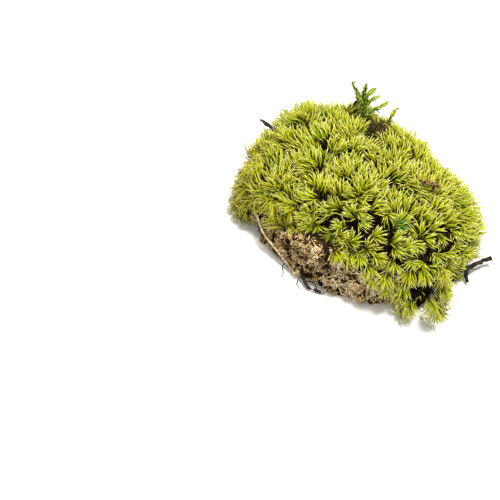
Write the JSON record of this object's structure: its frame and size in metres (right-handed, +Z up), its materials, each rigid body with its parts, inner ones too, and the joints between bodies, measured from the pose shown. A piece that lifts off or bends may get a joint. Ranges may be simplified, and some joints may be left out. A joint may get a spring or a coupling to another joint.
{
  "type": "moss clump",
  "caption": "Domed clump of broom fork-moss on a torn mat of peat, cut flat underneath, with a feather-moss sprig, a forked twig and other litter caught in it.",
  "frame": {"origin": "centre of the clump's box in plan, on the surface it rests on", "axes": "+Z up, square to the flat-cut underside; the torn peat edge faces between -X and -Y; +X along the clump's longest side, towards the forked twig"},
  "size_m": [0.1348, 0.123, 0.05],
  "materials": {
    "moss": "matte",
    "feather_moss": "matte",
    "peat": "matte",
    "dark_bark": "matte",
    "dry_stalk": "matte",
    "dead_leaf": "matte"
  },
  "bodies": {
    "root": {"peat_mat": "peat", "moss_cushion": "moss", "left_tuft": "moss", "yellow_tuft": "moss", "front_tuft": "moss", "feather_moss_sprig": "feather_moss", "small_frond": "feather_moss", "forked_twig": "dark_bark", "bark_strip": "dark_bark", "bark_crumb": "dark_bark", "root_wisp": "dark_bark", "dry_stem": "dry_stalk", "dead_leaf": "dead_leaf"}
  },
  "joints": []
}
